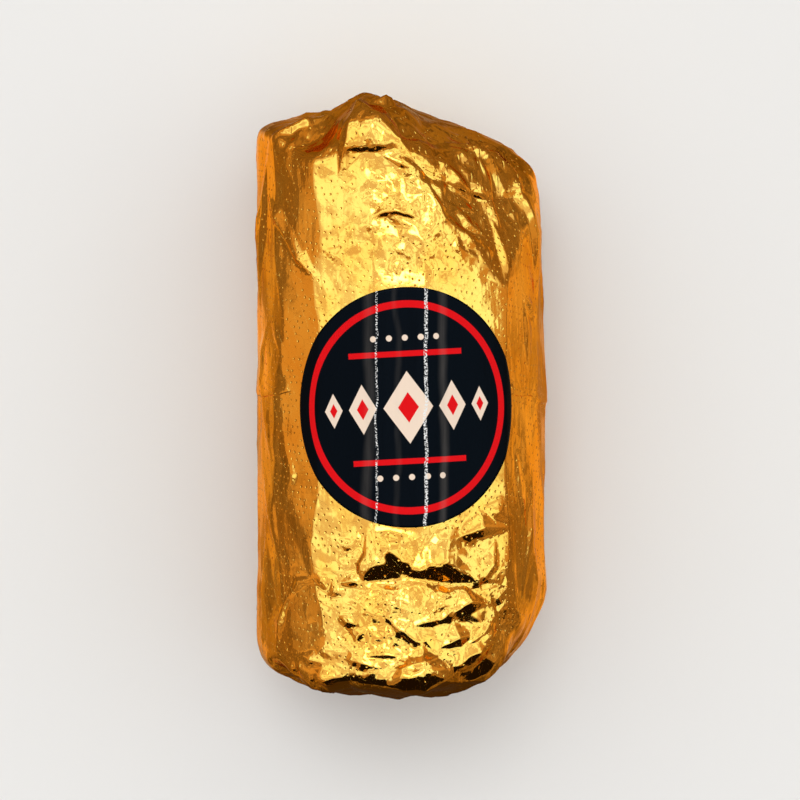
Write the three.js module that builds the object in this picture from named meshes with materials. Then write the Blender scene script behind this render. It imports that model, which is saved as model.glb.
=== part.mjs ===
// A burrito wrapped in gold foil, lying on its side with its round label facing up.
//
// Millimetres. +Z is up, +Y points to the gathered top end of the wrap, and +X is to the right of
// someone reading the label. The origin is on the table, under the middle of the burrito.
//
// The wrap is one closed skin. It starts as a bolster whose cross-section has a few long creases,
// with a domed bottom end and a top end that slopes down to the right. Folds, dents and pleats
// then push that skin in and out along its own normal.

import * as THREE from 'three';

// ---- driving dimensions ----------------------------------------------------------------------

const WIDTH = 78.5; // across the roll
const LENGTH = 163; // from end to end
const RADIUS = WIDTH / 2;
const REST_FLAT = 2.4; // how far the soft underside is pressed in by its own weight
const REST_SNAP = 0.5; // skin that comes this close to the table lies flat on it

const LABEL_RADIUS = 31.75; // a 63.5 mm sticker
const LABEL_THICKNESS = 0.4;
const LABEL_GAP = 0.3; // clearance between the foil and the sticker
const LABEL_X = 2.0; // the sticker's centre
const LABEL_Y = -4.0;
const LABEL_ANGLE = Math.asin(LABEL_X / RADIUS);
const LABEL_MARGIN = 0.5; // folds start this far outside the sticker
const LABEL_EASE = 5; // and reach their full height this far outside it

// The foil keeps long creases along the roll, at these angles from the top, to the right.
const LONG_CREASES = [
  -162, -138, -112, -88, -58, -34, -10.4, 9.7, 45, 88, 112, 138, 162,
].map(toRadians);
const CREASE_FLATNESS = 0.5; // 0 leaves the roll round between creases, 1 makes it flat

// How far the middle of each end stands out beyond its rim. The bottom end, tucked shut like a flat
// cushion, is curved mostly across.
const BOTTOM_DOME = { across: 6.6, upright: 2.0 };
const TOP_DOME = 2.5;

// Each end's corner: how tall its rounding is, and how square (2 is an ellipse), at the left of the
// roll, at its right, and at its top and underside.
const BOTTOM_CORNER = {
  left: { height: 11, square: 4 },
  right: { height: 28, square: 2.5 },
  upright: { height: 6, square: 3.5 },
};
const TOP_CORNER = {
  left: { height: 7, square: 4.5 },
  right: { height: 13, square: 3 },
  upright: { height: 7, square: 4.5 },
};

// Seen from above, the left of the top end is level, `drop` below the highest point, and climbs from
// x = start. Its right falls away: the drop at x = at, and how much further for each millimetre.
const TOP_LEFT = { drop: 5.2, start: -18.6, climb: 0.58 };
const TOP_RIGHT = { drop: 4.9, at: 6.35, slope: 0.27 };
const TOP_RIDGE_BLEND = 1.5;
// It also leans back towards the label: this far for each millimetre of height, left and right.
const TOP_LEAN = { left: 0.2, right: 0.35, from: -10, to: 20 };

const COLUMNS = 84; // faces round the roll
const FRONT_SHARE = 0.35; // how much closer the columns are on the label side
const CAP_ROWS = 15; // rings on each end
const SIDE_ROWS = 38; // rings along the roll
const END_SHARE = 0.5; // how much closer those rings are near the ends
const PROFILE_STEPS = 240; // steps used to measure an end's profile

const FOIL = { color: 0xd99a2b, metalness: 1.0, roughness: 0.22 };
const LABEL = { color: 0x0a0c0f, metalness: 0.0, roughness: 0.4 };

// ---- folds in the foil -----------------------------------------------------------------------
//
// A fold is a ridge from one point to another, seen from above, with flat faces like a tent. Going
// along it, the foil falls steeply on the right-hand side and gently on the left. Both sides narrow
// to nothing at its ends, and a bow bends the ridge at its middle. A negative height makes a valley.

const FOLDS = [
  // top end: the gathered peak and the triangle below it
  { from: [-9.4, 81], to: [-16.4, 57], height: 2.6, steep: 4.2, gentle: 7 },
  { from: [3.5, 62], to: [-14.5, 78.5], height: 2.4, steep: 3.6, gentle: 6 },
  { from: [-17.5, 64], to: [4.5, 65.8], height: 1.4, steep: 1.6, gentle: 8 },
  { from: [-5, 62.5], to: [5.5, 58.6], height: 1.0, steep: 1.5, gentle: 4 },
  { from: [-8, 76.2], to: [0.5, 75.8], height: 2.4, steep: 1.4, gentle: 3 },
  // top end: the edge of the sloping right shoulder, and the ridges on it
  { from: [25.4, 36.6], to: [4.2, 61], height: 1.1, steep: 1.5, gentle: 8, bow: 4.4 },
  { from: [28, 41], to: [19.6, 65], height: 1.3, steep: 1.3, gentle: 1.7 },
  { from: [20.5, 49], to: [9, 62], height: 0.9, steep: 2.2, gentle: 2.6 },
  { from: [24, 41], to: [14, 50], height: 0.8, steep: 1.8, gentle: 2.2, bow: 1 },
  { from: [20, 68.5], to: [32.5, 61.5], height: 0.9, steep: 1.4, gentle: 2.4 },
  // top end: chevron in the middle, slanting crease on the left
  { from: [-8.5, 45.8], to: [5.5, 45.2], height: 1.2, steep: 1.3, gentle: 6, bow: 2.6 },
  { from: [-23.5, 30], to: [-33.5, 51], height: 0.6, steep: 1.2, gentle: 3.4 },
  // below the label: the two deep folds, each with a valley along its foot, and those beside them
  { from: [-12.5, -50], to: [8, -48.6], height: 2.6, steep: 7.2, gentle: 24, bow: 7.6 },
  { from: [-11, -50.6], to: [7, -49.4], height: -1.6, steep: 2.8, gentle: 6.5 },
  { from: [0.8, -48.4], to: [21.6, -50.6], height: 2.4, steep: 5.4, gentle: 14, bow: 4.4 },
  { from: [2, -49.6], to: [21, -51.2], height: -1.2, steep: 3, gentle: 5 },
  { from: [13.8, -39], to: [29.4, -36.4], height: 1.8, steep: 2.8, gentle: 7, bow: 1.6 },
  { from: [19.8, -29.4], to: [30.6, -34.8], height: 1.2, steep: 2.0, gentle: 5 },
  { from: [-17.6, -51], to: [-8.2, -51.4], height: 1.0, steep: 1.4, gentle: 3, bow: 1 },
  { from: [-19.8, -54.4], to: [-14.2, -53], height: 0.8, steep: 1.3, gentle: 4, bow: 0.8 },
  { from: [-7.6, -56.4], to: [0.4, -56.6], height: 1.0, steep: 1.5, gentle: 5, bow: 1.2 },
  // lower still, down to the bottom end
  { from: [12.8, -59.8], to: [24.6, -56.6], height: 1.5, steep: 2.3, gentle: 5, bow: 3 },
  { from: [3, -61.8], to: [13, -60.2], height: 1.3, steep: 1.9, gentle: 5, bow: 0.8 },
  { from: [-5.2, -58.4], to: [6.2, -67.6], height: 1.2, steep: 1.9, gentle: 4 },
  { from: [10.4, -67.6], to: [20.4, -64.4], height: 1.5, steep: 2.4, gentle: 5, bow: 1 },
  { from: [16.2, -71.4], to: [25.6, -65.6], height: 1.4, steep: 2.4, gentle: 5 },
  { from: [-15.6, -70.2], to: [-5, -73], height: 1.0, steep: 1.7, gentle: 5 },
  { from: [-9.2, -69.8], to: [0.8, -69.8], height: 0.8, steep: 1.2, gentle: 4, bow: 0.6 },
  { from: [-32, -74.6], to: [-12, -79.2], height: 1.4, steep: 1.6, gentle: 4 },
  { from: [-5, -77.4], to: [17, -76.4], height: 3.4, steep: 6.0, gentle: 7, bow: 3.8 },
];

// How upright the skin is (its normal's z) where those folds begin and where they are whole.
const FRONT_FADE = [0.02, 0.3];

// More folds, on the flanks and the underside. Their points are an angle from the top, in degrees,
// and a distance along the roll, so the fold is drawn on the unrolled foil.
const FLANK_FOLDS = [
  // the free edge of the foil, lapped along the back
  { from: [126, -64], to: [120, 66], height: 1.5, steep: 3.4, gentle: 24, bow: 2 },
  // pleats that run up the flanks from each end
  { from: [74, -69], to: [66, -34], height: 1.1, steep: 3.2, gentle: 8, bow: -2 },
  { from: [100, -72], to: [92, -40], height: 1.3, steep: 3.0, gentle: 9, bow: 1 },
  { from: [-70, -36], to: [-78, -72], height: 1.3, steep: 3.2, gentle: 9, bow: 1 },
  { from: [-104, -44], to: [-98, -74], height: 1.4, steep: 3.2, gentle: 9, bow: -1 },
  { from: [66, 62], to: [78, 22], height: 1.4, steep: 3.0, gentle: 8, bow: 2 },
  { from: [94, 64], to: [104, 30], height: 1.4, steep: 3.0, gentle: 9 },
  { from: [-82, 20], to: [-70, 66], height: 1.3, steep: 3.2, gentle: 9, bow: -1 },
  { from: [-112, 30], to: [-98, 68], height: 1.4, steep: 3.2, gentle: 9, bow: 2 },
  // the crease across the foil sheet, where it shows on the flanks
  { from: [52, -2.6], to: [116, -2.8], height: 0.5, steep: 1.6, gentle: 9, bow: 0.4 },
  { from: [-116, 2], to: [-52, -1], height: 0.5, steep: 1.6, gentle: 9, bow: -0.5 },
];

// A dent is an oval hollow, seen from above.
const DENTS = [
  { at: [-24, 67.6], across: 22, along: 14, depth: 2.4 },
  { at: [28.4, -63], across: 9, along: 13, depth: 2.0 },
  { at: [1.5, 68], across: 8, along: 5, depth: 1.2 },
];

// How far the skin faces along the roll (its normal's y) where the flank folds fade out, and where
// the pleats of the ends begin and are whole.
const FLANK_FADE = [0.5, 0.9];
const END_FADE = [0.25, 0.8];

// The sloping right shoulder is a flat cut through this point, with this normal.
const SHOULDER_POINT = new THREE.Vector3(4.5, 60, 37.4);
const SHOULDER_NORMAL = new THREE.Vector3(0.66, 0.3, 0.69).normalize();
const SHOULDER_BLEND = 1.2;
const SHOULDER_MIN_FACING = 0.2; // skin turned further away than this is left alone

// The pleats that close each end, fanning out from its middle.
const BOTTOM_PLEATS = { count: 9, height: 1.5, twist: 0.5, phase: 0.35 };
const TOP_PLEATS = { count: 7, height: 1.7, twist: -0.6, phase: 0.9 };
const PLEAT_STEEP_SHARE = 0.22; // the part of each pleat's width that falls steeply
const PLEAT_START = 3; // distance from the end's middle where the pleats begin
const PLEAT_FULL = 20; // and where they reach their full height

// The roll narrows by this much on the right, between these two heights.
const NARROWING = { by: 1.7, start: 15, end: 60 };

// The foil peaks where it is gathered at the top end.
const PEAK = { x: -6.5, z: 22, height: 4.2, reachX: 15, reachZ: 22 };

// ---- small helpers ---------------------------------------------------------------------------

function toRadians(degrees) {
  return THREE.MathUtils.degToRad(degrees);
}

// The larger of two numbers, rounded off where they are within `blend` of each other.
function softMax(a, b, blend) {
  const overlap = Math.max(blend - Math.abs(a - b), 0) / blend;
  return Math.max(a, b) + (overlap * overlap * blend) / 4;
}

// An angle brought into the range from -pi to pi.
function wrapAngle(angle) {
  return Math.atan2(Math.sin(angle), Math.cos(angle));
}

// ---- the plain bolster -----------------------------------------------------------------------

// The creases in order round the roll, so that each neighbouring pair bounds one facet.
const CREASE_RING = [...LONG_CREASES].sort((a, b) => a - b);

// The roll's radius at an angle: round, less a share of what a flat facet would cut away.
function sectionRadius(angle) {
  const a = wrapAngle(angle);
  const next = CREASE_RING.findIndex((crease) => crease > a);
  const end = next < 0 ? CREASE_RING[0] + 2 * Math.PI : CREASE_RING[next];
  const before = (next < 0 ? CREASE_RING.length : next) - 1;
  const start = before < 0 ? CREASE_RING.at(-1) - 2 * Math.PI : CREASE_RING[before];
  const middle = (start + end) / 2;
  const flat = (RADIUS * Math.cos((end - start) / 2)) / Math.cos(a - middle);
  return RADIUS + (flat - RADIUS) * CREASE_FLATNESS;
}

// 1 at the far right of the roll, falling to 0 at its top and its underside.
function rightwardShare(angle) {
  return Math.max(Math.sin(angle), 0) ** 2;
}

// How far the top end's surface lies below the highest point, over a spot of the cross-section.
function topDrop(x, z) {
  const left = TOP_LEFT.drop - TOP_LEFT.climb * Math.max(x - TOP_LEFT.start, 0);
  const right = TOP_RIGHT.drop + TOP_RIGHT.slope * (x - TOP_RIGHT.at);
  const rightShare = THREE.MathUtils.smoothstep(x, TOP_LEAN.from, TOP_LEAN.to);
  const lean = THREE.MathUtils.lerp(TOP_LEAN.left, TOP_LEAN.right, rightShare) * Math.max(z, 0);
  const peak = Math.max(1 - Math.abs(x - PEAK.x) / PEAK.reachX, 0);
  const peakSpan = Math.max(1 - Math.abs(z - PEAK.z) / PEAK.reachZ, 0);
  return softMax(left, right, TOP_RIDGE_BLEND) + lean - PEAK.height * peak * peakSpan;
}

const Y_LOW = -LENGTH / 2;
const Y_HIGH = LENGTH / 2;

// A point of an end, as [rho, y], where `part` goes from 0 in the middle to 1 at the rim.
function endPoint(angle, part, isTop) {
  const corner = isTop ? TOP_CORNER : BOTTOM_CORNER;
  const side = Math.sin(angle) > 0 ? corner.right : corner.left;
  const sideways = Math.sin(angle) ** 2;
  const height = THREE.MathUtils.lerp(corner.upright.height, side.height, sideways);
  const square = THREE.MathUtils.lerp(corner.upright.square, side.square, sideways);
  const turn = (part * Math.PI) / 2;
  const reach = Math.sin(turn) ** (2 / square);
  const rho = sectionRadius(angle) * reach;
  const rounding = height * (1 - Math.max(Math.cos(turn), 0) ** (2 / square));
  if (!isTop) {
    const dome = THREE.MathUtils.lerp(BOTTOM_DOME.upright, BOTTOM_DOME.across, sideways);
    return [rho, Y_LOW + dome * reach * reach + rounding];
  }
  const drop = topDrop(rho * Math.sin(angle), rho * Math.cos(angle));
  return [rho, Y_HIGH - drop - TOP_DOME * reach * reach - rounding];
}

// An end's profile at one angle, cut into `rows` stretches of equal length, from the middle out.
function endProfile(angle, rows, isTop) {
  const dense = [];
  for (let i = 0; i <= PROFILE_STEPS; i += 1) {
    dense.push(endPoint(angle, i / PROFILE_STEPS, isTop));
  }
  const lengths = [0];
  for (let i = 1; i < dense.length; i += 1) {
    const step = Math.hypot(dense[i][0] - dense[i - 1][0], dense[i][1] - dense[i - 1][1]);
    lengths.push(lengths[i - 1] + step);
  }
  const profile = [];
  for (let row = 0, i = 1; row <= rows; row += 1) {
    const target = (lengths.at(-1) * row) / rows;
    while (i < dense.length - 1 && lengths[i] < target) i += 1;
    const share = (target - lengths[i - 1]) / (lengths[i] - lengths[i - 1]);
    profile.push([
      THREE.MathUtils.lerp(dense[i - 1][0], dense[i][0], share),
      THREE.MathUtils.lerp(dense[i - 1][1], dense[i][1], share),
    ]);
  }
  return profile;
}

// The whole profile at one angle, from the bottom end's middle to the top end's: [rho, y] pairs.
function rollProfile(angle) {
  const bottom = endProfile(angle, CAP_ROWS, false);
  const top = endProfile(angle, CAP_ROWS, true).reverse();
  const [rho, yStart] = bottom.at(-1);
  const yEnd = top[0][1];
  const side = [];
  for (let row = 1; row < SIDE_ROWS; row += 1) {
    const even = row / SIDE_ROWS;
    const share = even - (END_SHARE / (2 * Math.PI)) * Math.sin(2 * Math.PI * even);
    side.push([rho, THREE.MathUtils.lerp(yStart, yEnd, share)]);
  }
  return [...bottom, ...side, ...top];
}

// ---- folds, dents and pleats -----------------------------------------------------------------

function foldHeight(fold, x, y) {
  const runX = fold.to[0] - fold.from[0];
  const runY = fold.to[1] - fold.from[1];
  const run = Math.hypot(runX, runY);
  const dx = x - (fold.from[0] + fold.to[0]) / 2;
  const dy = y - (fold.from[1] + fold.to[1]) / 2;
  const along = (dx * runX + dy * runY) / run / (run / 2);
  const taper = 1 - Math.abs(along);
  if (taper <= 0) return 0;
  const across = (dy * runX - dx * runY) / run - (fold.bow ?? 0) * taper;
  const width = (across > 0 ? fold.gentle : fold.steep) * taper;
  return fold.height * taper * Math.max(1 - Math.abs(across) / width, 0);
}

function dentDepth(dent, x, y) {
  const away = Math.hypot((x - dent.at[0]) / (dent.across / 2), (y - dent.at[1]) / (dent.along / 2));
  return away < 1 ? dent.depth * (1 - away * away) ** 2 : 0;
}

// Pleats that fan out over an end and die away round its corner.
function pleatHeight(pleats, angle, rho) {
  const twisted = angle + pleats.phase + pleats.twist * (1 - rho / RADIUS);
  const turns = (twisted / (2 * Math.PI)) * pleats.count;
  const share = turns - Math.floor(turns);
  const rise = Math.min(share / (1 - PLEAT_STEEP_SHARE), (1 - share) / PLEAT_STEEP_SHARE);
  const span = THREE.MathUtils.smoothstep(rho, PLEAT_START, PLEAT_FULL);
  return pleats.height * rise * span;
}

// The flank folds with their angles turned into distances round the unrolled foil.
const FLANK_SCALE = toRadians(1) * RADIUS; // millimetres for one degree
const UNROLLED_FOLDS = FLANK_FOLDS.map((fold) => ({
  ...fold,
  from: [fold.from[0] * FLANK_SCALE, fold.from[1]],
  to: [fold.to[0] * FLANK_SCALE, fold.to[1]],
}));

// 0 under the label, where the foil is pulled smooth, rising to 1 a little way outside it.
function awayFromLabel(angle, y) {
  const around = RADIUS * wrapAngle(angle - LABEL_ANGLE);
  const distance = Math.hypot(around, y - LABEL_Y);
  return THREE.MathUtils.smoothstep(distance, LABEL_RADIUS + LABEL_MARGIN, LABEL_RADIUS + LABEL_EASE);
}

// Folds and dents drawn from above, which fade out towards the flanks.
function frontRelief({ x, y, z }, normal) {
  if (z <= 0) return 0;
  let out = 0;
  for (const fold of FOLDS) out += foldHeight(fold, x, y);
  for (const dent of DENTS) out -= dentDepth(dent, x, y);
  return out * THREE.MathUtils.smoothstep(normal.z, ...FRONT_FADE);
}

// Folds drawn on the unrolled flanks and underside.
function flankRelief(angle, y, normal) {
  const around = THREE.MathUtils.radToDeg(wrapAngle(angle)) * FLANK_SCALE;
  let out = 0;
  for (const fold of UNROLLED_FOLDS) out += foldHeight(fold, around, y);
  return out * (1 - THREE.MathUtils.smoothstep(Math.abs(normal.y), ...FLANK_FADE));
}

// How far the skin is pushed out at a point of it (z is measured from the roll's axis).
function relief(point, normal, angle, rho) {
  const { y } = point;
  const folded = (frontRelief(point, normal) + flankRelief(angle, y, normal)) * awayFromLabel(angle, y);
  const onEnd = THREE.MathUtils.smoothstep(Math.abs(normal.y), ...END_FADE);
  const pleats = onEnd * pleatHeight(y < 0 ? BOTTOM_PLEATS : TOP_PLEATS, angle, rho);
  const narrowing = THREE.MathUtils.smoothstep(y, NARROWING.start, NARROWING.end) * rightwardShare(angle);
  return folded + pleats - NARROWING.by * narrowing;
}

// The point cut back to the sloping shoulder, along its own normal.
function cutShoulder(point, normal) {
  const beyond = point.clone().sub(SHOULDER_POINT).dot(SHOULDER_NORMAL);
  const facing = normal.dot(SHOULDER_NORMAL);
  if (facing <= SHOULDER_MIN_FACING || beyond < -SHOULDER_BLEND) return point;
  const depth = softMax(beyond, 0, SHOULDER_BLEND);
  return point.addScaledVector(normal, -depth / facing);
}

// The underside, pressed flat against the table.
function pressFlat(point) {
  const table = REST_FLAT - RADIUS;
  if (point.z < table + REST_SNAP) point.z = table;
  return point;
}

// ---- the foil wrap ---------------------------------------------------------------------------

function columnAngle(column) {
  const even = (2 * Math.PI * column) / COLUMNS;
  return even - FRONT_SHARE * Math.sin(even);
}

// The skin's vertices from the bottom end's middle to the top end's, one ring after another.
function foilVertices() {
  const profiles = [];
  for (let column = 0; column < COLUMNS; column += 1) profiles.push(rollProfile(columnAngle(column)));
  const rings = profiles[0].length;
  const vertices = [];
  for (let ring = 1; ring < rings - 1; ring += 1) {
    for (let column = 0; column < COLUMNS; column += 1) {
      const angle = columnAngle(column);
      const [rho, y] = profiles[column][ring];
      const before = profiles[column][ring - 1];
      const after = profiles[column][ring + 1];
      const slope = new THREE.Vector2(after[1] - before[1], before[0] - after[0]).normalize();
      const normal = new THREE.Vector3(slope.x * Math.sin(angle), slope.y, slope.x * Math.cos(angle));
      const point = new THREE.Vector3(rho * Math.sin(angle), y, rho * Math.cos(angle));
      cutShoulder(point, normal);
      point.addScaledVector(normal, relief(point, normal, angle, rho));
      vertices.push(pressFlat(point));
    }
  }
  const ends = [profiles[0][0][1], profiles[0].at(-1)[1]].map((y) => new THREE.Vector3(0, y, 0));
  return { vertices, rings: rings - 2, ends };
}

// A closed skin over rings of vertices, with one vertex in the middle of each end.
function closedSkin({ vertices, rings, ends }) {
  const index = [];
  const at = (ring, column) => ring * COLUMNS + (column % COLUMNS);
  const [low, high] = [vertices.length, vertices.length + 1];
  for (let column = 0; column < COLUMNS; column += 1) {
    index.push(low, at(0, column + 1), at(0, column));
    index.push(high, at(rings - 1, column), at(rings - 1, column + 1));
    for (let ring = 0; ring < rings - 1; ring += 1) {
      const [a, b] = [at(ring, column), at(ring, column + 1)];
      const [d, c] = [at(ring + 1, column), at(ring + 1, column + 1)];
      if ((ring + column) % 2) index.push(b, c, d, b, d, a);
      else index.push(a, b, c, a, c, d);
    }
  }
  const geometry = new THREE.BufferGeometry().setFromPoints([...vertices, ...ends]);
  geometry.setIndex(index);
  return geometry;
}

function foilWrap() {
  const mesh = new THREE.Mesh(closedSkin(foilVertices()), new THREE.MeshStandardMaterial(FOIL));
  mesh.name = 'foil_wrap';
  return mesh;
}

// ---- the round label -------------------------------------------------------------------------

const LABEL_SIDES = 60;
const LABEL_RINGS = 9;
const LABEL_FACE_SIZE = 1 + LABEL_RINGS * LABEL_SIDES; // points on one face of the sticker

// A point on the sticker, `distance` from its centre along the foil and `lift` above the foil.
function labelPoint(distance, direction, lift) {
  const angle = LABEL_ANGLE + (distance * Math.cos(direction)) / RADIUS;
  const rho = sectionRadius(angle) + lift;
  const y = LABEL_Y + distance * Math.sin(direction);
  return new THREE.Vector3(rho * Math.sin(angle), y, rho * Math.cos(angle));
}

// One face of the sticker: its centre, then its rings from the inside out.
function labelFace(lift) {
  const points = [labelPoint(0, 0, lift)];
  for (let ring = 1; ring <= LABEL_RINGS; ring += 1) {
    for (let side = 0; side < LABEL_SIDES; side += 1) {
      const direction = (2 * Math.PI * side) / LABEL_SIDES;
      points.push(labelPoint((LABEL_RADIUS * ring) / LABEL_RINGS, direction, lift));
    }
  }
  return points;
}

// The number of a point on ring 1 or further out; face 0 is the lower one.
function labelIndex(face, ring, side) {
  return face * LABEL_FACE_SIZE + 1 + (ring - 1) * LABEL_SIDES + (side % LABEL_SIDES);
}

// A disc bent round the roll: a lower and an upper face, joined by a rim.
function roundLabel() {
  const points = [...labelFace(LABEL_GAP), ...labelFace(LABEL_GAP + LABEL_THICKNESS)];
  const index = [];
  for (let side = 0; side < LABEL_SIDES; side += 1) {
    index.push(0, labelIndex(0, 1, side + 1), labelIndex(0, 1, side));
    index.push(LABEL_FACE_SIZE, labelIndex(1, 1, side), labelIndex(1, 1, side + 1));
    for (let ring = 1; ring < LABEL_RINGS; ring += 1) {
      for (const face of [0, 1]) {
        const [a, c] = [labelIndex(face, ring, side), labelIndex(face, ring + 1, side + 1)];
        const outer = labelIndex(face, ring + 1, side);
        const inner = labelIndex(face, ring, side + 1);
        const [b, d] = face ? [outer, inner] : [inner, outer];
        index.push(a, b, c, a, c, d);
      }
    }
    const [a, b] = [labelIndex(0, LABEL_RINGS, side), labelIndex(0, LABEL_RINGS, side + 1)];
    const [d, c] = [labelIndex(1, LABEL_RINGS, side), labelIndex(1, LABEL_RINGS, side + 1)];
    index.push(a, b, c, a, c, d);
  }
  const geometry = new THREE.BufferGeometry().setFromPoints(points);
  geometry.setIndex(index);
  const mesh = new THREE.Mesh(geometry, new THREE.MeshStandardMaterial(LABEL));
  mesh.name = 'round_label';
  return mesh;
}

// ---- the part --------------------------------------------------------------------------------

const burrito = new THREE.Group();
const foil = foilWrap();
const label = roundLabel();
const box = new THREE.Box3().setFromObject(foil);
const middle = box.getCenter(new THREE.Vector3());
for (const piece of [foil, label]) {
  piece.position.set(-middle.x, -middle.y, -box.min.z);
  burrito.add(piece);
}

export default burrito;
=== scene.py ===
"""A burrito wrapped in crumpled gold foil, lying on its side with a round black sticker on top.

The frame holds two solids: the wrap and the sticker. Both are replaced here by finer meshes of the
same form. Shapes are worked out in millimetres with the roll's axis along Y, and are moved into
the frame when their meshes are made.
"""

import math

import bpy
import numpy as np
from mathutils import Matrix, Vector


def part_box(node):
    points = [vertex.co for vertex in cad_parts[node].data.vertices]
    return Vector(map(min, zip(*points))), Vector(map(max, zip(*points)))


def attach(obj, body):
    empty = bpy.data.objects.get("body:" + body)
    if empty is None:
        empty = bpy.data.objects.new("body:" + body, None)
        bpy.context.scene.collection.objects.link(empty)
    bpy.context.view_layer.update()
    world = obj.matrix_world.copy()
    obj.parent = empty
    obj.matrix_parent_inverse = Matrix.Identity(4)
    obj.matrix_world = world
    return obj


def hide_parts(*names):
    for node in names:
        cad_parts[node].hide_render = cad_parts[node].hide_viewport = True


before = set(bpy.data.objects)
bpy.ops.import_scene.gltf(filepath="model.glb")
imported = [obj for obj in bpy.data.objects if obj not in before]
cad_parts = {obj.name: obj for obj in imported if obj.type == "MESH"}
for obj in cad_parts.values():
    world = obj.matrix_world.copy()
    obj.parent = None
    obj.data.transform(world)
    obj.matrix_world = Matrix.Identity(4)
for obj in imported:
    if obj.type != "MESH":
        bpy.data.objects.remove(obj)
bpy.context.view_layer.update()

MM = 0.001  # metres in a millimetre

# ---- the roll: the same sizes as the solid ----

WIDTH = 78.5
LENGTH = 163.0
RADIUS = WIDTH / 2
AROUND = 2 * math.pi * RADIUS
REST_FLAT = 2.4
REST_SNAP = 0.5

LABEL_RADIUS = 31.75
LABEL_X = 2.0
LABEL_Y = -4.0
LABEL_ANGLE = math.asin(LABEL_X / RADIUS)
LABEL_MARGIN = 0.5
LABEL_EASE = 5.0
LABEL_GAP = 0.08  # the sticker lies on the foil
LABEL_THICKNESS = 0.18

# Long creases along the roll, as angles from the top, to the right.
LONG_CREASES = np.radians([-162, -138, -112, -88, -58, -34, -10.4, 9.7, 45, 88, 112, 138, 162])
CREASE_FLATNESS = 0.5

# How far the middle of each end stands out beyond its rim.
BOTTOM_DOME = {"across": 6.6, "upright": 2.0}
TOP_DOME = 2.5
# Corner rounding of each end at the left, the right, and the top and underside: height, squareness.
BOTTOM_CORNER = np.array([(11, 4.0), (28, 2.5), (6, 3.5)])
TOP_CORNER = np.array([(7, 4.5), (13, 3.0), (7, 4.5)])
# Seen from above, the top end is level at its left, climbs from x = start, and then falls away.
TOP_LEFT = {"drop": 5.2, "start": -18.6, "climb": 0.58}
TOP_RIGHT = {"drop": 4.9, "at": 6.35, "slope": 0.27}
TOP_RIDGE_BLEND = 1.5
TOP_LEAN = {"left": 0.2, "right": 0.35, "start": -10, "end": 20}
PEAK = {"x": -6.5, "z": 22, "height": 4.2, "reach_x": 15, "reach_z": 22}
NARROWING = {"by": 1.7, "start": 15, "end": 60}

SHOULDER_POINT = np.array([4.5, 60, 37.4])
SHOULDER_NORMAL = np.array([0.66, 0.3, 0.69])
SHOULDER_NORMAL /= np.linalg.norm(SHOULDER_NORMAL)
SHOULDER_BLEND = 1.2
SHOULDER_MIN_FACING = 0.2

BOTTOM_PLEATS = {"count": 9, "height": 1.5, "twist": 0.5, "phase": 0.35}
TOP_PLEATS = {"count": 7, "height": 1.7, "twist": -0.6, "phase": 0.9}
PLEAT_STEEP_SHARE = 0.22
PLEAT_START = 3
PLEAT_FULL = 20

# Where relief fades in or out, by how far the skin faces upwards or along the roll.
FRONT_FADE = (0.02, 0.3)
FLANK_FADE = (0.5, 0.9)
END_FADE = (0.25, 0.8)
LEAST_TAPER = 1e-6  # keeps the width of a fold above zero past its ends

# ---- folds ----
#
# A fold is a ridge from one point to another. Going along it, the foil falls steeply on the right
# and gently on the left. Each is (x0, y0, x1, y1, height, steep width, gentle width, bow).

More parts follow.
